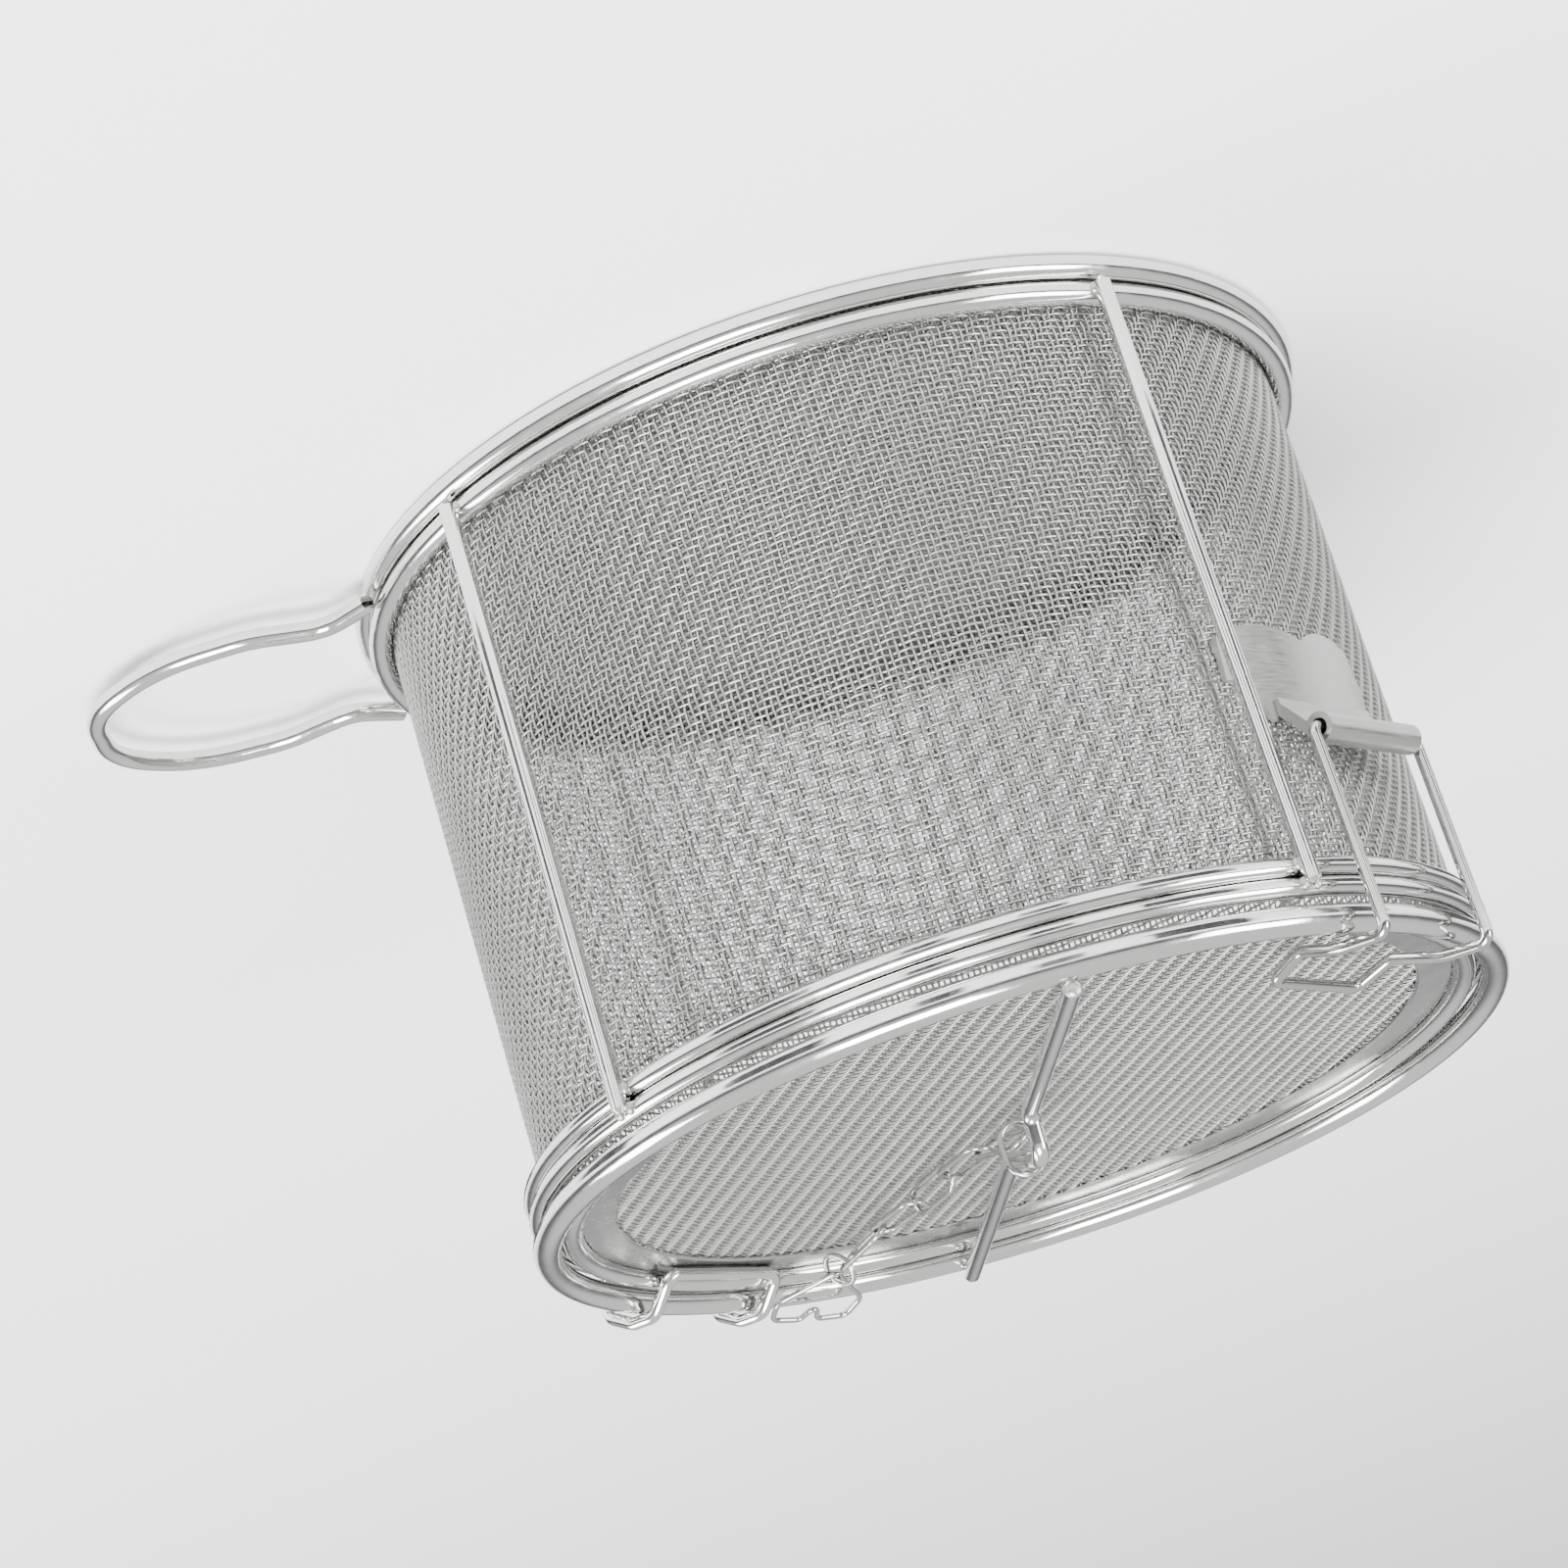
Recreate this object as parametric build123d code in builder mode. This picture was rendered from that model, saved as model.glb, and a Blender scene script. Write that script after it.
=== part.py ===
"""Wire mesh basket with a hinged, latched lid, a loop handle and a lid chain.

The basket stands on its closed mesh end with its axis on +Z and its origin at the
centre of the base ring's lowest plane. The latch is on +X, the hinge on -X. Millimetres.
"""
import os
from math import cos, radians, sin, sqrt

from build123d import *

# Basket
MESH_SHEET = 0.5            # thickness of the woven mesh
WALL_RADIUS = 68.2          # outside of the wall mesh
WALL_BOTTOM = 1.0
WALL_TOP = 95.4
BASE_WIRE = 3.6             # ring that the basket stands on
BASE_RADIUS = 71.0
BINDING_WIRE = 3.4          # ring that binds the wall mesh to the base
BINDING_RADIUS = 69.9
BINDING_HEIGHT = 5.3
RIM_WIRE = 2.8              # two rings side by side at the mouth
RIM_RADIUS = 70.0
RIM_UPPER_HEIGHT = 95.2
RIM_LOWER_HEIGHT = RIM_UPPER_HEIGHT - RIM_WIRE - 0.05
ROD_WIRE = 2.5
ROD_RADIUS = 72.1           # rod centre line, welded to the outside of the rings
ROD_BOTTOM = 4.0
ROD_TOP = 95.6
ROD_TAPER = 0.7
ROD_AZIMUTHS = {
    "rod_near_latch": 15.0,
    "rod_near_handle": 97.8,
    "rod_near_hinge": 195.0,
    "rod_opposite_handle": 277.8,
}

# Handle, in its own plane: distance from the basket's axis, half width
HANDLE_WIRE = 3.0
HANDLE_AZIMUTH = 138.0
HANDLE_HEIGHT = 4.5
HANDLE_HALF_OUTLINE = [(69.5, 21.6), (76.5, 16.6), (87.5, 20.4), (101.5, 19.4), (113.0, 9.0)]
HANDLE_BENDS = [6.0, 14.0, 20.0, 16.0]

# Lid
LID_WIRE = 4.1
LID_RADIUS = 70.0
LID_HEIGHT = 99.8           # centre of the lid ring's wire
INNER_WIRE = 3.2
INNER_RADIUS = 66.0
INNER_HEIGHT = 98.0
BAND_INSIDE = 59.3
BAND_OUTSIDE = 64.3
BAND_SHEET = 0.6
BAND_HEIGHT = 96.75
LID_MESH_RADIUS = 64.0
LID_MESH_HEIGHT = 96.15
BAR_WIRE = 2.6
BAR_AZIMUTH = 43.25
BAR_OFFSET = 2.0            # the bar lies this far to the left of the lid's centre
BAR_END = 69.8
BAR_HEIGHT = 102.9
KINK_RISE = 6.5
KINK_STEEP_FOOT = 17.0      # where the bar leaves the lid's plane, towards the front
KINK_TOP = 15.6
KINK_SLOPE_FOOT = -7.0

# Hinge: a bracket on the rim carries the pin, a staple on the lid curls round it
PIN_WIRE = 1.8
PIN_DISTANCE = 73.2
PIN_HEIGHT = 98.8
PIN_HALF_LENGTH = 15.4
CURL_WIRE = 2.0
CURL_RADIUS = 2.15          # centre line of the curl about the pin
CURL_HALF_SPACING = 12.0
STAPLE_DISTANCE = 61.6
STAPLE_HEIGHT = 98.5

# Latch: a sheet plate rolled into a tube, and a wire bail that turns in the tube
PLATE_SHEET = 0.8
PLATE_BOTTOM = 56.5
ROLL_DISTANCE = 73.5
ROLL_HEIGHT = 74.0
ROLL_OUTSIDE = 4.2
ROLL_BORE = 2.5
ROLL_HALF_LENGTH = 10.7
BAIL_WIRE = 1.7
BAIL_HALF_WIDTH = 12.3
BAIL_REACH = 29.9           # from the roll's axis to the bail's hooked part
BAIL_BEND = 1.5
TAB_HALF_WIDTH = 9.7
TAB_DISTANCE = 53.2
TAB_HEIGHT = 101.9

# Chain: an eye round the lid bar, five long links, a small ring and a heart-shaped end
LINK_WIRE = 0.9
LINK_LENGTH = 12.8          # centre line
LINK_WIDTH = 3.9            # centre line
LINK_SLACK = 0.1
EYE_STATION = 4.0           # along the bar from the lid's centre
EYE_HEIGHT = 8.0            # centre line
EYE_WIDTH = 5.6
FIRST_LINK_LIFT = 2.7       # of the first link over the bottom of the eye
LINK_COURSE = [(203.0, -13.0), (204.5, -2.0), (203.5, 0.0), (199.5, -1.0), (198.0, 5.0)]
LINK_ROLLS = [-38.0, 14.0, 84.0, 8.0, -40.0]
END_RING_RADIUS = 2.6
END_RING_ROLL = 60.0
HEART_AZIMUTH = 200.0
HEART_CLIMB = 14.5
HEART_TIP_INSET = 0.6      # its rounded tip lies this far short of its outline's corner
HEART_ROLL = 5.0
HEART_HALF = [(0.0, 0.0), (7.6, 7.2), (12.4, 6.4), (12.8, 1.5), (8.6, 0.0)]
HEART_BENDS = [1.0, 2.2, 1.6, 1.2, 0.8]


def polar(distance, azimuth, height):
    """Point at a distance from the basket's axis, in the direction azimuth."""
    return Vector(distance * cos(radians(azimuth)), distance * sin(radians(azimuth)), height)


def finish(piece, node):
    """Label a finished piece and write it under its node's name."""
    piece.part.label = node
    export_step(piece.part, f"parts/{node}.step")


def hoop(radius, wire, height):
    """Round ring of round wire about the basket's axis."""
    with BuildPart() as ring:
        with BuildSketch(Plane.XZ):
            with Locations((radius, height)):
                Circle(wire / 2)
        revolve(axis=Axis.Z)
    return ring


def rolled_plane(origin, heading, roll):
    """Plane with x along heading, turned about heading by roll from lying flat."""
    upright = Vector(0, 0, 1) - heading * heading.Z
    return Plane(origin=origin, x_dir=heading, z_dir=upright.rotate(Axis((0, 0, 0), heading), roll))


def bent_wire(points, bends, wire):
    """Open wire through points, with the bend radii given one for each corner."""
    with BuildPart() as bent:
        with BuildLine() as path:
            FilletPolyline(*points, radius=bends)
        with BuildSketch(Plane(origin=path.line @ 0, z_dir=path.line % 0)):
            Circle(wire / 2)
        sweep()
    return bent


def long_link(plane, length, width, wire):
    """Closed link with straight sides and round ends, its length along the plane's x."""
    side = (length - width) / 2
    with BuildPart() as link:
        with BuildLine(plane) as path:
            Line((-side, -width / 2), (side, -width / 2))
            ThreePointArc((side, -width / 2), (side + width / 2, 0), (side, width / 2))
            Line((side, width / 2), (-side, width / 2))
            ThreePointArc((-side, width / 2), (-side - width / 2, 0), (-side, -width / 2))
        with BuildSketch(Plane(origin=plane.from_local_coords((-side, -width / 2)), z_dir=plane.x_dir)):
            Circle(wire / 2)
        sweep()
    return link


os.makedirs("parts", exist_ok=True)

# ---- Basket ----
finish(hoop(BASE_RADIUS, BASE_WIRE, BASE_WIRE / 2), "base_ring")
finish(hoop(BINDING_RADIUS, BINDING_WIRE, BINDING_HEIGHT), "base_binding_ring")
finish(hoop(RIM_RADIUS, RIM_WIRE, RIM_LOWER_HEIGHT), "rim_ring_lower")
finish(hoop(RIM_RADIUS, RIM_WIRE, RIM_UPPER_HEIGHT), "rim_ring_upper")

with BuildPart() as wall_mesh:
    with BuildSketch(Plane.XY.offset(WALL_BOTTOM)):
        Circle(WALL_RADIUS)
        Circle(WALL_RADIUS - MESH_SHEET, mode=Mode.SUBTRACT)
    extrude(amount=WALL_TOP - WALL_BOTTOM)
finish(wall_mesh, "wall_mesh")

with BuildPart() as base_mesh:
    with BuildSketch(Plane.XY.offset(WALL_BOTTOM)):
        Circle(WALL_RADIUS - MESH_SHEET - 0.05)
    extrude(amount=MESH_SHEET)
finish(base_mesh, "base_mesh")

for node, azimuth in ROD_AZIMUTHS.items():
    foot = polar(ROD_RADIUS, azimuth, ROD_BOTTOM)
    with BuildPart() as rod:
        with BuildSketch(Plane(origin=foot)):
            Circle(ROD_WIRE / 2)
        extrude(amount=ROD_TOP - ROD_BOTTOM)
        chamfer(rod.edges().filter_by(GeomType.CIRCLE), length=ROD_TAPER)
    finish(rod, node)

handle_half = [polar(out, HANDLE_AZIMUTH, HANDLE_HEIGHT) for out, _ in HANDLE_HALF_OUTLINE]
handle_across = polar(1, HANDLE_AZIMUTH + 90, 0)
left_side = [spot + handle_across * half for spot, (_, half) in zip(handle_half, HANDLE_HALF_OUTLINE)]
right_side = [spot - handle_across * half for spot, (_, half) in zip(handle_half, HANDLE_HALF_OUTLINE)]
handle_loop = bent_wire(left_side + right_side[::-1], HANDLE_BENDS + HANDLE_BENDS[::-1], HANDLE_WIRE)
finish(handle_loop, "handle_loop")

# Hinge bracket: the pin stands off the rim, its two ends bend down and in to the rim rings
rim_face = -sqrt((RIM_RADIUS + RIM_WIRE / 2) ** 2 - PIN_HALF_LENGTH ** 2) - PIN_WIRE / 2 + 0.2
bracket_side = [
    (rim_face, PIN_HALF_LENGTH + 0.6, RIM_LOWER_HEIGHT - 1),
    (rim_face, PIN_HALF_LENGTH + 0.4, RIM_UPPER_HEIGHT),
    (-PIN_DISTANCE, PIN_HALF_LENGTH, PIN_HEIGHT),
]
bracket_points = bracket_side + [(x, -y, z) for x, y, z in bracket_side[::-1]]
finish(bent_wire(bracket_points, [1.5, 1.5, 1.5, 1.5], PIN_WIRE), "hinge_bracket")

# Latch plate: curved sheet on the wall, with a neck that is rolled into a tube
with BuildPart() as latch_plate:
    with BuildSketch(Plane.YZ):
        with BuildLine():
            Line((-11.2, 70.5), (11.2, 70.5))
            Line((11.2, 70.5), (13.2, 67.5))
            ThreePointArc((13.2, 67.5), (15.0, 65.3), (17.6, 64.4))
            Line((17.6, 64.4), (17.0, 58.0))
            ThreePointArc((17.0, 58.0), (8.5, PLATE_BOTTOM - 0.6), (0.0, PLATE_BOTTOM + 1.2))
            ThreePointArc((0.0, PLATE_BOTTOM + 1.2), (-6.0, PLATE_BOTTOM - 0.5), (-12.0, 58.0))
            Line((-12.0, 58.0), (-13.0, 64.0))
            Line((-13.0, 64.0), (-11.2, 70.5))
        make_face()
    extrude(amount=WALL_RADIUS + 10)
    with BuildSketch(Plane.XY.offset(PLATE_BOTTOM - 2)):
        Circle(WALL_RADIUS + 0.05 + PLATE_SHEET)
        Circle(WALL_RADIUS + 0.05, mode=Mode.SUBTRACT)
    extrude(amount=20, mode=Mode.INTERSECT)
    with BuildSketch(Plane.XZ.offset(-ROLL_HALF_LENGTH)):
        with BuildLine():
            Polyline(
                (WALL_RADIUS + 0.05, 67.5),
                (WALL_RADIUS + 0.05, 69.8),
                (ROLL_DISTANCE - 1.9, ROLL_HEIGHT + 0.4),
                (ROLL_DISTANCE - 1.4, ROLL_HEIGHT - 1.5),
                (WALL_RADIUS + 0.85, 68.3),
                (WALL_RADIUS + 0.85, 67.5),
                close=True,
            )
        make_face()
        with Locations((ROLL_DISTANCE, ROLL_HEIGHT)):
            Circle(ROLL_OUTSIDE / 2)
            Circle(ROLL_BORE / 2, mode=Mode.SUBTRACT)
    extrude(amount=2 * ROLL_HALF_LENGTH)
finish(latch_plate, "latch_plate")

# ---- Lid ----
finish(hoop(LID_RADIUS, LID_WIRE, LID_HEIGHT), "lid_ring")
finish(hoop(INNER_RADIUS, INNER_WIRE, INNER_HEIGHT), "lid_inner_ring")

with BuildPart() as lid_mesh_band:
    with BuildSketch(Plane.XZ):
        with BuildLine():
            Polyline(
                (BAND_INSIDE, BAND_HEIGHT),
                (BAND_OUTSIDE, BAND_HEIGHT + 0.15),
                (BAND_OUTSIDE, BAND_HEIGHT + 0.15 + BAND_SHEET),
                (BAND_INSIDE + 0.3, BAND_HEIGHT + BAND_SHEET),
                (BAND_INSIDE, BAND_HEIGHT + BAND_SHEET - 0.3),
                close=True,
            )
        make_face()
    revolve(axis=Axis.Z)
finish(lid_mesh_band, "lid_mesh_band")

with BuildPart() as lid_mesh:
    with BuildSketch(Plane.XY.offset(LID_MESH_HEIGHT)):
        Circle(LID_MESH_RADIUS)
    extrude(amount=MESH_SHEET)
finish(lid_mesh, "lid_mesh")

along_bar = polar(1, BAR_AZIMUTH, 0)
bar_centre = polar(BAR_OFFSET, BAR_AZIMUTH + 90, BAR_HEIGHT)


def on_bar(station, rise=0.0):
    """Point on the lid bar's line, station from the lid's centre towards the front."""
    return bar_centre + along_bar * station + Vector(0, 0, rise)


bar_points = [
    on_bar(BAR_END),
    on_bar(KINK_STEEP_FOOT),
    on_bar(KINK_TOP, KINK_RISE),
    on_bar(KINK_SLOPE_FOOT),
    on_bar(-BAR_END),
]
finish(bent_wire(bar_points, [2.4, 1.9, 9.0], BAR_WIRE), "lid_bar")

# Hinge staple: an inner run on the lid band, two legs over the lid ring, curled round the pin
leg_side = [
    (STAPLE_DISTANCE, STAPLE_HEIGHT),
    (66.7, 103.2),
    (71.2, 102.7),
    (PIN_DISTANCE + CURL_RADIUS, PIN_HEIGHT + 1.4),
    (PIN_DISTANCE + CURL_RADIUS, PIN_HEIGHT - CURL_RADIUS),
    (PIN_DISTANCE - CURL_RADIUS, PIN_HEIGHT - CURL_RADIUS),
    (PIN_DISTANCE - CURL_RADIUS, PIN_HEIGHT - 0.2),
]
leg_points = [(-out, CURL_HALF_SPACING, height) for out, height in leg_side]
staple_points = leg_points[::-1] + [(x, -y, z) for x, y, z in leg_points]
staple_bends = [1.9, 2.0, 1.6, 1.9, 2.6, 2.0]
hinge_staple = bent_wire(staple_points, staple_bends + staple_bends[::-1], CURL_WIRE)
finish(hinge_staple, "hinge_staple")

# ---- Latch bail ----
arc_middle = radians(105)
arc_end = radians(118.5)
bail_side = [
    (ROLL_DISTANCE, 1.0, ROLL_HEIGHT),
    (ROLL_DISTANCE, BAIL_HALF_WIDTH, ROLL_HEIGHT),
    (ROLL_DISTANCE + 0.2, BAIL_HALF_WIDTH, ROLL_HEIGHT + BAIL_REACH + 0.2),
    (ROLL_DISTANCE + BAIL_REACH * cos(arc_middle), BAIL_HALF_WIDTH,
     ROLL_HEIGHT + BAIL_REACH * sin(arc_middle)),
    (ROLL_DISTANCE + BAIL_REACH * cos(arc_end), TAB_HALF_WIDTH + 0.9,
     ROLL_HEIGHT + BAIL_REACH * sin(arc_end)),
    (TAB_DISTANCE, TAB_HALF_WIDTH, TAB_HEIGHT),
]
bail_points = bail_side + [(x, -y, z) for x, y, z in bail_side[::-1]]
bail_bends = [BAIL_BEND, BAIL_BEND, 12.0, 2.5, 1.6]
latch_bail = bent_wire(bail_points, bail_bends + bail_bends[::-1], BAIL_WIRE)
finish(latch_bail, "latch_bail")

# ---- Chain ----
slope = KINK_RISE / (KINK_TOP - KINK_SLOPE_FOOT)
bar_over_eye = on_bar(EYE_STATION, (EYE_STATION - KINK_SLOPE_FOOT) * slope)
eye_top = bar_over_eye.Z + BAR_WIRE / 2 + LINK_WIRE / 2 + 0.45
eye_centre = Vector(bar_over_eye.X, bar_over_eye.Y, eye_top - EYE_HEIGHT / 2)
eye_plane = Plane(origin=eye_centre, x_dir=(0, 0, 1), z_dir=along_bar)
finish(long_link(eye_plane, EYE_HEIGHT, EYE_WIDTH, LINK_WIRE), "chain_eye")

pitch = LINK_LENGTH - LINK_WIRE - LINK_SLACK
first_heading = polar(1, LINK_COURSE[0][0], 0)
joint = eye_centre - Vector(0, 0, EYE_HEIGHT / 2 - FIRST_LINK_LIFT) - first_heading * (LINK_WIRE / 2)
for number, ((azimuth, climb), roll) in enumerate(zip(LINK_COURSE, LINK_ROLLS), start=1):
    heading = polar(cos(radians(climb)), azimuth, sin(radians(climb)))
    link_plane = rolled_plane(joint + heading * (pitch / 2), heading, roll)
    finish(long_link(link_plane, LINK_LENGTH, LINK_WIDTH, LINK_WIRE), f"chain_link_{number:02d}")
    joint = joint + heading * pitch

ring_centre = joint + heading * (END_RING_RADIUS - LINK_WIRE / 2)
ring_plane = rolled_plane(ring_centre, heading, END_RING_ROLL)
ring_section = Plane(origin=ring_centre, x_dir=ring_plane.x_dir, z_dir=ring_plane.y_dir)
with BuildPart() as chain_end_ring:
    with BuildSketch(ring_section):
        with Locations((END_RING_RADIUS, 0)):
            Circle(LINK_WIRE / 2)
    revolve(axis=Axis(ring_centre, ring_plane.z_dir))
finish(chain_end_ring, "chain_end_ring")

heart_tip = ring_centre + heading * (END_RING_RADIUS - LINK_WIRE - LINK_SLACK - HEART_TIP_INSET)
heart_heading = polar(cos(radians(HEART_CLIMB)), HEART_AZIMUTH, sin(radians(HEART_CLIMB)))
heart_plane = rolled_plane(heart_tip, heart_heading, HEART_ROLL)
heart_outline = HEART_HALF + [(x, -y) for x, y in HEART_HALF[-2:0:-1]]
heart_bends = HEART_BENDS + HEART_BENDS[-2:0:-1]
with BuildPart() as chain_heart:
    with BuildLine(heart_plane) as heart_path:
        FilletPolyline(*heart_outline, radius=heart_bends, close=True)
    start = heart_path.line @ 0
    with BuildSketch(Plane(origin=start, z_dir=heart_path.line % 0)):
        Circle(LINK_WIRE / 2)
    sweep()
finish(chain_heart, "chain_heart")
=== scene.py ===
"""Wire mesh basket with a hinged, latched lid: woven wire cloth, polished wires, weld beads and the stage."""
from math import atan2, cos, pi, radians, sin

import bpy
import numpy as np
from bpy.props import FloatProperty, FloatVectorProperty, PointerProperty
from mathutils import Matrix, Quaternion, Vector


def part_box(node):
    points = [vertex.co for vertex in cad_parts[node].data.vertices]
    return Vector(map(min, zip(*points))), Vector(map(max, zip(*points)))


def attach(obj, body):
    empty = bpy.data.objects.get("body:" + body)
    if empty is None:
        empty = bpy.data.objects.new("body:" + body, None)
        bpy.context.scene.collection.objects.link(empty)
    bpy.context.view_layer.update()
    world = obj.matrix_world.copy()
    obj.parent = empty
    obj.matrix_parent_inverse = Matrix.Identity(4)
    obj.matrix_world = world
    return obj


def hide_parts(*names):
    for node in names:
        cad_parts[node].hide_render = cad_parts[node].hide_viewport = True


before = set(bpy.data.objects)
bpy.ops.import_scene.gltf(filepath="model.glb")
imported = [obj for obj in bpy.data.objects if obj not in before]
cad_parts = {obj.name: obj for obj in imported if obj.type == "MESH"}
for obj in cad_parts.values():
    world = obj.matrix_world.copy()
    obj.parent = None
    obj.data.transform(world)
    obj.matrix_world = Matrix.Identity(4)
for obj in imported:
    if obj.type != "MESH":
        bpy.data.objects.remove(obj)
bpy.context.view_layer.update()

bl_info = {
    "name": "Mesh basket",
    "version": (1, 0, 0),
    "blender": (4, 5, 0),
    "location": "View3D > Sidebar > Basket",
    "description": "Builds the woven cloth, finishes and stage of a lidded wire mesh basket",
    "category": "Add Mesh",
}

MM = 0.001
BASKET_RINGS = ("base_ring", "base_binding_ring", "rim_ring_lower", "rim_ring_upper")
BASKET_WIRES = (
    "rod_near_latch", "rod_near_handle", "rod_near_hinge", "rod_opposite_handle",
    "handle_loop", "hinge_bracket",
)
LID_WIRES = ("lid_ring", "lid_inner_ring", "lid_bar", "hinge_staple")
TWILL_STEP = 2          # each wire of the cloth goes over two and under two
SHORTEST_WIRE = 2       # a wire that crosses fewer than this on each side of its middle is left out
SHORTEST_TAIL = 0.1     # of the wire spacing: a shorter end past the last crossing is left out
BAR_AZIMUTH = radians(43.25)
BAR_END = 69.8 * MM     # from the lid's centre, along the bar
BAR_OFFSET = 2.0 * MM   # from the lid's centre, across the bar
BAR_RADIUS = 1.3 * MM
BEAD_SIZE = (0.75 * MM, 0.7 * MM, 0.95 * MM)    # half sizes: outwards, around the basket, upwards
BEAD_INSET = 0.75 * MM  # from the rod's centre line towards the basket's axis
BEAD_SPREAD = 1.1 * MM  # from the rod's centre line to each side
CLOTH_TRIM = 0.1 * MM   # the cloth's discs end this far inside the sheets that they stand for
RELIEF_NOISE = {"Detail": 3.0, "Roughness": 0.55}

# Softboxes: place in millimetres, side in metres and power in watts
SOFTBOXES = {
    "key_softbox": ((250, 900, 1100), 0.7, 50),
    "side_softbox": ((1100, -150, 450), 0.5, 18),
    "back_softbox": ((-900, 500, 700), 0.5, 16),
}
LIGHTS_AIM = (0, 0, 50)

# Light from above: how high in the sky, from 0 at the horizon to 1 overhead, and its colour there
SKY = (
    (0.08, (0.16, 0.16, 0.17)), (0.2, (0.3, 0.3, 0.31)), (0.34, (0.85, 0.85, 0.86)), (0.6, (1.0, 1.0, 1.0)),
)
SKY_STRENGTH = 1.25

# Black cards: azimuth in degrees, near and far edges in millimetres, half spread in degrees
FLAGS = (
    (8, 128, 420, 11), (38, 150, 420, 5), (62, 135, 420, 5), (98, 128, 420, 12), (150, 150, 420, 10),
    (200, 130, 420, 12), (245, 150, 420, 8), (285, 130, 420, 12), (330, 150, 420, 10),
)
FLAG_HEIGHT = 0.5 * MM  # above the floor, so that the two don't coincide
FLOOR_SIZE = 12         # metres


# ---- Settings ----
def hex_colour(code):
    """Linear RGB of an sRGB hex colour."""
    channels = [int(code[i:i + 2], 16) / 255 for i in (1, 3, 5)]
    return tuple(c / 12.92 if c <= 0.04045 else ((c + 0.055) / 1.055) ** 2.4 for c in channels)


class BasketClothSettings(bpy.types.PropertyGroup):
    """Sizes of the woven wire cloth."""

    pitch: FloatProperty(
        name="Wire spacing", description="Distance between neighbouring wires of the cloth",
        default=1.0 * MM, unit="LENGTH", precision=5,
    )
    wire: FloatProperty(
        name="Wire thickness", description="Diameter of the cloth's wire",
        default=0.44 * MM, unit="LENGTH", precision=5,
    )
    crimp: FloatProperty(
        name="Crimp", description="How far each wire leaves the cloth's middle as it crosses another",
        default=0.17 * MM, unit="LENGTH", precision=5,
    )
    lid_turn: FloatProperty(
        name="Lid weave angle", description="Direction of the lid cloth's wires about the basket's axis",
        default=radians(-16), subtype="ANGLE",
    )
    base_turn: FloatProperty(
        name="Base weave angle", description="Direction of the base cloth's wires about the basket's axis",
        default=radians(8), subtype="ANGLE",
    )


class BasketFinishSettings(bpy.types.PropertyGroup):
    """Colours of the metals."""

    polished: FloatVectorProperty(
        name="Polished wire", description="Colour of the polished rings, rods and handle",
        default=hex_colour("#CECECC"), subtype="COLOR",
    )
    drawn: FloatVectorProperty(
        name="Drawn wire", description="Colour of the bail and the chain",
        default=hex_colour("#B4B4B2"), subtype="COLOR",
    )
    cloth: FloatVectorProperty(
        name="Wire cloth", description="Colour of the woven cloth",
        default=hex_colour("#ABABA9"), subtype="COLOR",
    )
    sheet: FloatVectorProperty(
        name="Rolled sheet", description="Colour of the latch plate and the lid's pressed band",
        default=hex_colour("#A8A8A6"), subtype="COLOR",
    )


class BasketStageSettings(bpy.types.PropertyGroup):
    """Camera and floor."""

    floor: FloatVectorProperty(
        name="Floor", description="Colour of the floor",
        default=hex_colour("#FBFBFB"), subtype="COLOR",
    )
    azimuth: FloatProperty(
        name="Camera azimuth", description="Direction from the basket's axis to the camera, from the latch",
        default=radians(52.24), subtype="ANGLE",
    )
    elevation: FloatProperty(
        name="Camera elevation", description="Height of the camera above the horizon",
        default=radians(19.76), subtype="ANGLE",
    )
    roll: FloatProperty(
        name="Camera roll", description="Turn of the camera about its own line of sight",
        default=radians(162.75), subtype="ANGLE",
    )
    aim: FloatVectorProperty(
        name="Camera aim", description="Point that the camera looks at",
        default=(-10.5 * MM, 16.3 * MM, 42.5 * MM), subtype="XYZ", unit="LENGTH", precision=5,
    )
    distance: FloatProperty(
        name="Camera distance", description="From the camera to the point that it looks at",
        default=620 * MM, unit="LENGTH",
    )
    lens: FloatProperty(
        name="Lens", description="Focal length in millimetres on a 36 mm sensor", default=98.06,
    )


# ---- Helpers for nodes and meshes ----
def add_node(tree, kind, settings=None, **links):
    """Adds a node of that kind with its settings, and links its named inputs from other sockets."""
    node = tree.nodes.new(kind)
    for name, value in (settings or {}).items():
        if name in node.inputs:
            node.inputs[name].default_value = value
        else:
            setattr(node, name, value)
    for name, source in links.items():
        tree.links.new(source, node.inputs[name.replace("_", " ")])
    return node


def new_steel(name, colour, roughness):
    """A new metal material: the material, its node tree and its Principled node."""
    material = bpy.data.materials.new(name)
    material.use_nodes = True
    shader = material.node_tree.nodes["Principled BSDF"]
    shader.inputs["Base Color"].default_value = (*colour, 1)
    shader.inputs["Metallic"].default_value = 1
    shader.inputs["Roughness"].default_value = roughness
    return material, material.node_tree, shader


def millimetres(tree, stretch=(1, 1, 1)):
    """Object coordinates in millimetres, each axis divided by its stretch."""
    place = add_node(tree, "ShaderNodeTexCoord")
    scale = add_node(tree, "ShaderNodeMapping", Vector=place.outputs["Object"])
    scale.inputs["Scale"].default_value = [1 / MM / s for s in stretch]
    return scale.outputs["Vector"]


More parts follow.
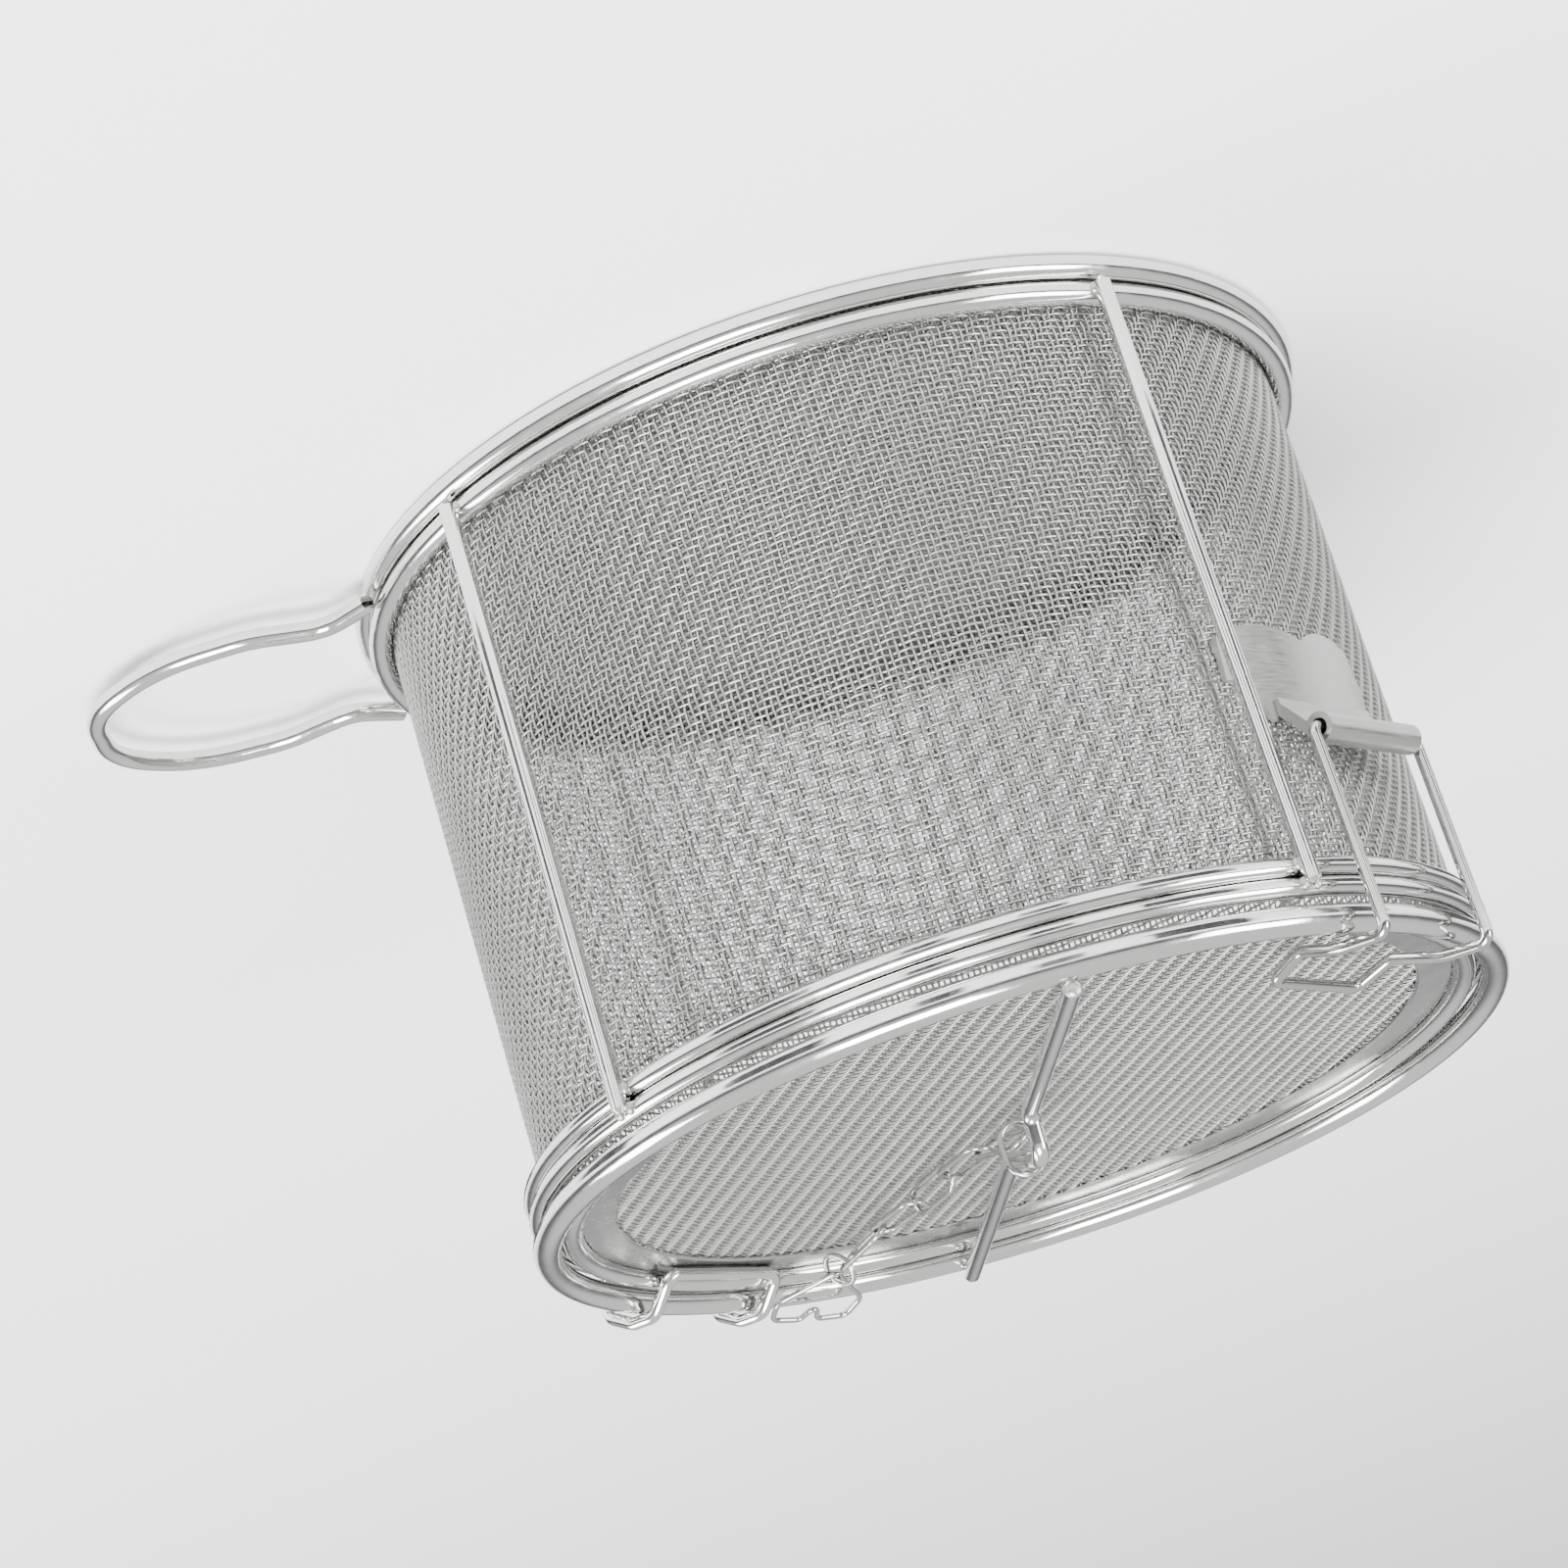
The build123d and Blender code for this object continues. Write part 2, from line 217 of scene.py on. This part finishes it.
def uneven_roughness(tree, shader, place, size, low, high, relief):
    """Roughness between low and high, and relief in metres, from noise of that size in millimetres."""
    noise = add_node(
        tree, "ShaderNodeTexNoise", {"Scale": 1 / size, **RELIEF_NOISE}, Vector=place,
    )
    spread = add_node(
        tree, "ShaderNodeMapRange", {"From Min": 0.3, "From Max": 0.7, "To Min": low, "To Max": high},
        Value=noise.outputs["Fac"],
    )
    tree.links.new(spread.outputs["Result"], shader.inputs["Roughness"])
    bump = add_node(
        tree, "ShaderNodeBump", {"Distance": relief, "Strength": 1.0}, Height=noise.outputs["Fac"],
    )
    tree.links.new(bump.outputs["Normal"], shader.inputs["Normal"])


def wires_mesh(name, lines, thickness):
    """Mesh of four-sided wires. A line holds its points, the outward normals there, and if it closes."""
    corners, faces, count = [], [], 0
    for points, outward, closed in lines:
        ahead = np.roll(points, -1, 0) - np.roll(points, 1, 0)
        if not closed:
            ahead[0], ahead[-1] = points[1] - points[0], points[-1] - points[-2]
        side = np.cross(ahead, outward)
        side /= np.linalg.norm(side, axis=1, keepdims=True)
        out = outward * thickness / 2
        side = side * thickness / 2
        sides = [points + out, points + side, points - out, points - side]
        corners.append(np.stack(sides, 1).reshape(-1, 3))
        here = count + 4 * np.arange(len(points) if closed else len(points) - 1)
        after = count + (here - count + 4) % (4 * len(points))
        for k in range(4):
            turn = (k + 1) % 4
            faces.append(np.stack([here + turn, after + turn, after + k, here + k], 1))
        if not closed:
            first, last = count, count + 4 * (len(points) - 1)
            faces.append(np.array([[first, first + 1, first + 2, first + 3]]))
            faces.append(np.array([[last + 3, last + 2, last + 1, last]]))
        count += 4 * len(points)
    corners, faces = np.concatenate(corners), np.concatenate(faces)
    mesh = bpy.data.meshes.new(name)
    mesh.vertices.add(len(corners))
    mesh.vertices.foreach_set("co", corners.astype(np.float32).ravel())
    mesh.loops.add(faces.size)
    mesh.loops.foreach_set("vertex_index", faces.astype(np.int32).ravel())
    mesh.polygons.add(len(faces))
    mesh.polygons.foreach_set("loop_start", np.arange(0, faces.size, 4, dtype=np.int32))
    mesh.polygons.foreach_set("use_smooth", np.ones(len(faces), bool))
    mesh.update(calc_edges=True)
    piece = bpy.data.objects.new(name, mesh)
    bpy.context.scene.collection.objects.link(piece)
    return piece


def over_or_under(along, across):
    """+1 where a wire passes over the other family and -1 where it passes under, in a two by two twill."""
    return np.where((along - across) % (2 * TWILL_STEP) < TWILL_STEP, 1, -1)


def woven_disc(name, radius, height, turn, cloth):
    """Round flat piece of twill cloth, its first wires at the angle turn about the basket's axis."""
    reach = int(radius / cloth.pitch)
    lines = []
    for family in (0, 1):
        angle = turn + family * pi / 2
        along = np.array([cos(angle), sin(angle), 0])
        across = np.array([-sin(angle), cos(angle), 0]) * (1 if family == 0 else -1)
        for number in range(-reach, reach + 1):
            half = (radius ** 2 - (number * cloth.pitch) ** 2) ** 0.5
            last = int(half / cloth.pitch)
            if last < SHORTEST_WIRE:
                continue
            steps = np.arange(-last, last + 1)
            lift = over_or_under(steps, number) if family == 0 else -over_or_under(number, steps)
            distance = np.concatenate([[-half], steps * cloth.pitch, [half]])
            lift = np.concatenate([[0], lift, [0]]) * cloth.crimp
            points = np.outer(distance, along) + across * number * cloth.pitch
            points[:, 2] = height + lift
            if half - last * cloth.pitch <= SHORTEST_TAIL * cloth.pitch:
                points = points[1:-1]
            lines.append((points, np.tile([0.0, 0.0, 1.0], (len(points), 1)), False))
    return wires_mesh(name, lines, cloth.wire)


def woven_wall(name, radius, bottom, top, cloth):
    """Twill cloth bent into a cylinder, with upright wires and hoops."""
    group = 2 * TWILL_STEP
    uprights = group * round(2 * pi * radius / cloth.pitch / group)
    hoops = int((top - bottom - cloth.wire) / cloth.pitch) + 1
    azimuths = 2 * pi * np.arange(uprights) / uprights
    heights = bottom + cloth.wire / 2 + (top - bottom - cloth.wire) * np.arange(hoops) / (hoops - 1)
    outward = np.stack([np.cos(azimuths), np.sin(azimuths), 0 * azimuths], 1)
    lines = []
    for number, out in enumerate(outward):
        lift = over_or_under(np.arange(hoops), number) * cloth.crimp
        points = np.outer(radius + lift, out)
        points[:, 2] = heights
        lines.append((points, np.tile(out, (hoops, 1)), False))
    for number, height in enumerate(heights):
        lift = -over_or_under(number, np.arange(uprights)) * cloth.crimp
        points = outward * (radius + lift)[:, None]
        points[:, 2] = height
        lines.append((points, outward, True))
    return wires_mesh(name, lines, cloth.wire)


def dress(piece, body, material, slot, *nodes):
    """Gives a new piece its body and material, and hides the CAD nodes that it stands for; the slot is not
    used.
    """
    piece.data.materials.append(material)
    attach(piece, body)
    if nodes:
        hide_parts(*nodes)


def refinish(node, material):
    """Puts a material on a CAD node."""
    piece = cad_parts[node]
    for slot in piece.material_slots:
        slot.material = material
    if not piece.material_slots:
        piece.data.materials.append(material)


# ---- Materials ----
def electropolished_wire(colour, use="frame"):
    """Electropolished stainless wire: mirror-like, with faint draw marks that soften its highlights."""
    material, tree, shader = new_steel(f"electropolished_stainless_{use}_wire", colour, 0.12)
    uneven_roughness(tree, shader, millimetres(tree), 2.5, 0.07, 0.17, 0.006 * MM)
    return material


def drawn_wire(colour):
    """Bright drawn stainless wire: a little duller than polished, so that thin links read as grey lines."""
    material, tree, shader = new_steel("bright_drawn_stainless_wire", colour, 0.2)
    uneven_roughness(tree, shader, millimetres(tree), 0.8, 0.14, 0.26, 0.004 * MM)
    return material


def woven_wire(colour):
    """Woven stainless wire cloth: satin wires whose own crossings give the light and dark of the twill."""
    name = "woven_stainless_wire_cloth"
    return bpy.data.materials.get(name) or new_steel(name, colour, 0.3)[0]


def rolled_sheet(colour):
    """Cold-rolled stainless sheet, satin: rolling lines about 0.3 mm apart that spread highlights sideways."""
    material, tree, shader = new_steel("satin_rolled_stainless_sheet", colour, 0.36)
    uneven_roughness(tree, shader, millimetres(tree, (12, 12, 1)), 0.3, 0.28, 0.44, 0.004 * MM)
    return material


def pressed_strip(colour):
    """Pressed stainless strip: semi-bright, with broad soft marks left by the press."""
    material, tree, shader = new_steel("pressed_stainless_strip", colour, 0.24)
    uneven_roughness(tree, shader, millimetres(tree), 3.0, 0.18, 0.32, 0.01 * MM)
    return material


def weld_metal(colour):
    """Resistance-welded steel, brushed clean: duller and slightly lumpy where two wires were fused."""
    material, tree, shader = new_steel("brushed_weld_metal", colour, 0.35)
    uneven_roughness(tree, shader, millimetres(tree), 0.5, 0.28, 0.5, 0.03 * MM)
    return material


# ---- Operators ----
class BASKET_OT_finish_wires(bpy.types.Operator):
    """Polish the rings, rods, handle, hinge and lid bar"""

    bl_idname = "basket.finish_wires"
    bl_label = "Finish the frame wires"

    def execute(self, context):
        polished = electropolished_wire(context.scene.basket_finish.polished)
        for node in BASKET_RINGS + BASKET_WIRES + LID_WIRES:
            refinish(node, polished)
        return {"FINISHED"}


class BASKET_OT_finish_latch(bpy.types.Operator):
    """Finish the latch plate, the bail and the lid's pressed band"""

    bl_idname = "basket.finish_latch"
    bl_label = "Finish the latch and band"

    def execute(self, context):
        finish = context.scene.basket_finish
        refinish("latch_plate", rolled_sheet(finish.sheet))
        refinish("latch_bail", electropolished_wire(finish.drawn, "spring"))
        refinish("lid_mesh_band", pressed_strip(finish.sheet))
        return {"FINISHED"}


class BASKET_OT_finish_chain(bpy.types.Operator):
    """Finish every piece of the lid chain"""

    bl_idname = "basket.finish_chain"
    bl_label = "Finish the chain"

    def execute(self, context):
        drawn = drawn_wire(context.scene.basket_finish.drawn)
        links = [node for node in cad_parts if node.startswith("chain_")]
        if not links:
            raise RuntimeError("the frame has no chain")
        for node in links:
            refinish(node, drawn)
        return {"FINISHED"}


class BASKET_OT_weave_wall(bpy.types.Operator):
    """Weave the wall's wire cloth"""

    bl_idname = "basket.weave_wall"
    bl_label = "Weave the wall"

    def execute(self, context):
        low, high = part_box("wall_mesh")
        cloth = context.scene.basket_cloth
        radius = high.x - cloth.crimp - cloth.wire / 2
        wall = woven_wall("wall_cloth", radius, low.z, high.z, cloth)
        dress(wall, "basket", woven_wire(context.scene.basket_finish.cloth), "woven_mesh", "wall_mesh")
        return {"FINISHED"}


class BASKET_OT_weave_ends(bpy.types.Operator):
    """Weave the wire cloth of the base and of the lid"""

    bl_idname = "basket.weave_ends"
    bl_label = "Weave the base and lid"

    def execute(self, context):
        cloth = context.scene.basket_cloth
        material = woven_wire(context.scene.basket_finish.cloth)
        for node, body, turn in (("base_mesh", "basket", cloth.base_turn), ("lid_mesh", "lid", cloth.lid_turn)):
            low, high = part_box(node)
            name = node.replace("mesh", "cloth")
            disc = woven_disc(name, high.x - CLOTH_TRIM, (low.z + high.z) / 2, turn, cloth)
            dress(disc, body, material, "woven_mesh", node)
        return {"FINISHED"}


class BASKET_OT_weld_beads(bpy.types.Operator):
    """Add a small weld bead on each side of each rod where it crosses a ring"""

    bl_idname = "basket.weld_beads"
    bl_label = "Add weld beads"

    def execute(self, context):
        material = weld_metal(context.scene.basket_finish.sheet)
        self.bead_the_rods(material)
        self.bead_the_lid_bar(material)
        return {"FINISHED"}

    def bead_the_lid_bar(self, material):
        """Rounds the two ends of the lid bar, where they are welded to the lid ring."""
        along = Vector((cos(BAR_AZIMUTH), sin(BAR_AZIMUTH), 0))
        across = Vector((-along.y, along.x, 0))
        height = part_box("lid_bar")[0].z + BAR_RADIUS
        for side, end in ((1, "front"), (-1, "back")):
            place = along * side * BAR_END + across * BAR_OFFSET + Vector((0, 0, height))
            size = (0.6 * BAR_RADIUS, BAR_RADIUS, BAR_RADIUS)
            self.add_bead(f"bead_lid_bar_{end}", place, BAR_AZIMUTH, size, "lid", material)

    def add_bead(self, name, place, azimuth, size, body, material):
        """Lump of weld metal whose first size lies along azimuth."""
        bpy.ops.mesh.primitive_ico_sphere_add(subdivisions=3, radius=1)
        bead = bpy.context.object
        bead.name = bead.data.name = name
        bead.location = place
        bead.rotation_euler = (0, 0, azimuth)
        bead.scale = size
        bpy.ops.object.transform_apply()
        bpy.ops.object.shade_smooth()
        dress(bead, body, material, "polished_wire")

    def bead_the_rods(self, material):
        rings = ("base_binding_ring", "rim_ring_lower", "rim_ring_upper")
        for rod in BASKET_WIRES[:4]:
            low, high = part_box(rod)
            foot = Vector(((low.x + high.x) / 2, (low.y + high.y) / 2, 0))
            out = foot.normalized()
            around = Vector((-out.y, out.x, 0))
            for ring in rings:
                ring_low, ring_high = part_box(ring)
                height = (ring_low.z + ring_high.z) / 2
                for side, hand in ((-1, "a"), (1, "b")):
                    place = foot - out * BEAD_INSET + around * side * BEAD_SPREAD + Vector((0, 0, height))
                    self.add_bead(f"bead_{rod}_{ring}_{hand}", place, atan2(foot.y, foot.x),
                                  BEAD_SIZE, "basket", material)


class BASKET_OT_stage(bpy.types.Operator):
    """Set the floor, the lights, the world and the camera"""

    bl_idname = "basket.stage"
    bl_label = "Set the stage"

    def execute(self, context):
        self.add_floor(context)
        self.add_flags()
        self.add_world(context)
        self.add_lights()
        self.add_camera(context)
        return {"FINISHED"}

    def add_floor(self, context):
        bpy.ops.mesh.primitive_plane_add(size=FLOOR_SIZE)
        floor = context.object
        floor.name = "floor"
        material = bpy.data.materials.new("matt_paper_sweep")
        material.use_nodes = True
        shader = material.node_tree.nodes["Principled BSDF"]
        shader.inputs["Base Color"].default_value = (*context.scene.basket_stage.floor, 1)
        shader.inputs["Roughness"].default_value = 0.8
        shader.inputs["Specular IOR Level"].default_value = 0.2
        floor.data.materials.append(material)

    def add_flags(self):
        """Black cards on the floor that only reflections see, which give polished wire its dark edges."""
        material = bpy.data.materials.new("black_felt")
        material.use_nodes = True
        shader = material.node_tree.nodes["Principled BSDF"]
        shader.inputs["Base Color"].default_value = (*hex_colour("#2C2C2E"), 1)
        shader.inputs["Roughness"].default_value = 1
        for number, (azimuth, near, far, spread) in enumerate(FLAGS):
            corners = [
                Vector((cos(turn), sin(turn), 0)) * distance * MM + Vector((0, 0, FLAG_HEIGHT))
                for distance in (near, far)
                for turn in (radians(azimuth - spread), radians(azimuth + spread))
            ]
            mesh = bpy.data.meshes.new(f"flag_{number}")
            mesh.from_pydata(corners, [], [(0, 1, 3, 2)])
            mesh.materials.append(material)
            flag = bpy.data.objects.new(mesh.name, mesh)
            bpy.context.scene.collection.objects.link(flag)
            flag.visible_camera = flag.visible_diffuse = flag.visible_shadow = False

    def add_world(self, context):
        """Bright overhead, with a dark band near the horizon that gives polished wire its dark edges."""
        world = bpy.data.worlds.new("studio")
        world.use_nodes = True
        context.scene.world = world
        tree = world.node_tree
        place = add_node(tree, "ShaderNodeTexCoord")
        height = add_node(tree, "ShaderNodeSeparateXYZ", Vector=place.outputs["Generated"])
        ramp = add_node(tree, "ShaderNodeValToRGB", Fac=height.outputs["Z"])
        stops = ramp.color_ramp.elements
        stops[0].position, stops[1].position = SKY[0][0], SKY[-1][0]
        for height_share, _ in SKY[1:-1]:
            stops.new(height_share)
        for stop, (_, colour) in zip(stops, SKY):
            stop.color = (*colour, 1)
        background = tree.nodes["Background"]
        background.inputs["Strength"].default_value = SKY_STRENGTH
        tree.links.new(ramp.outputs["Color"], background.inputs["Color"])

    def add_lights(self):
        """Hangs the softboxes, all turned to the middle of the basket."""
        centre = Vector(LIGHTS_AIM) * MM
        for name, (place, size, power) in SOFTBOXES.items():
            light = bpy.data.lights.new(name, "AREA")
            light.shape, light.size, light.energy = "SQUARE", size, power
            lamp = bpy.data.objects.new(name, light)
            lamp.location = Vector(place) * MM
            lamp.rotation_euler = (centre - lamp.location).to_track_quat("-Z", "Y").to_euler()
            bpy.context.scene.collection.objects.link(lamp)

    def add_camera(self, context):
        stage = context.scene.basket_stage
        level = cos(stage.elevation)
        back = Vector((level * cos(stage.azimuth), level * sin(stage.azimuth), sin(stage.elevation)))
        camera = bpy.data.objects.new("camera", bpy.data.cameras.new("camera"))
        camera.data.lens = stage.lens
        camera.data.sensor_width = 36
        camera.data.clip_start = 0.01
        camera.location = Vector(stage.aim) + back * stage.distance
        look = back.to_track_quat("Z", "Y") @ Quaternion((0, 0, 1), stage.roll)
        camera.rotation_euler = look.to_euler()
        context.scene.collection.objects.link(camera)
        context.scene.camera = camera


OPERATORS = (
    BASKET_OT_finish_wires, BASKET_OT_finish_latch, BASKET_OT_finish_chain, BASKET_OT_weave_wall,
    BASKET_OT_weave_ends, BASKET_OT_weld_beads, BASKET_OT_stage,
)


class BASKET_PT_sidebar(bpy.types.Panel):
    """The basket's sizes, colours and pieces"""

    bl_label = "Mesh basket"
    bl_idname = "BASKET_PT_sidebar"
    bl_space_type = "VIEW_3D"
    bl_region_type = "UI"
    bl_category = "Basket"

    def draw(self, context):
        for group in (context.scene.basket_cloth, context.scene.basket_finish, context.scene.basket_stage):
            for name in group.__annotations__:
                self.layout.prop(group, name)
        for operator in OPERATORS:
            self.layout.operator(operator.bl_idname)


SETTINGS = (
    ("basket_cloth", BasketClothSettings),
    ("basket_finish", BasketFinishSettings),
    ("basket_stage", BasketStageSettings),
)


def register():
    for name, group in SETTINGS:
        bpy.utils.register_class(group)
        setattr(bpy.types.Scene, name, PointerProperty(type=group))
    for operator in OPERATORS:
        bpy.utils.register_class(operator)
    bpy.utils.register_class(BASKET_PT_sidebar)


def unregister():
    bpy.utils.unregister_class(BASKET_PT_sidebar)
    for operator in reversed(OPERATORS):
        bpy.utils.unregister_class(operator)
    for name, group in reversed(SETTINGS):
        delattr(bpy.types.Scene, name)
        bpy.utils.unregister_class(group)


def main():
    register()
    bpy.ops.basket.finish_wires()
    bpy.ops.basket.finish_latch()
    bpy.ops.basket.finish_chain()
    bpy.ops.basket.weave_wall()
    bpy.ops.basket.weave_ends()
    bpy.ops.basket.weld_beads()
    bpy.ops.basket.stage()


if __name__ == "__main__":
    main()
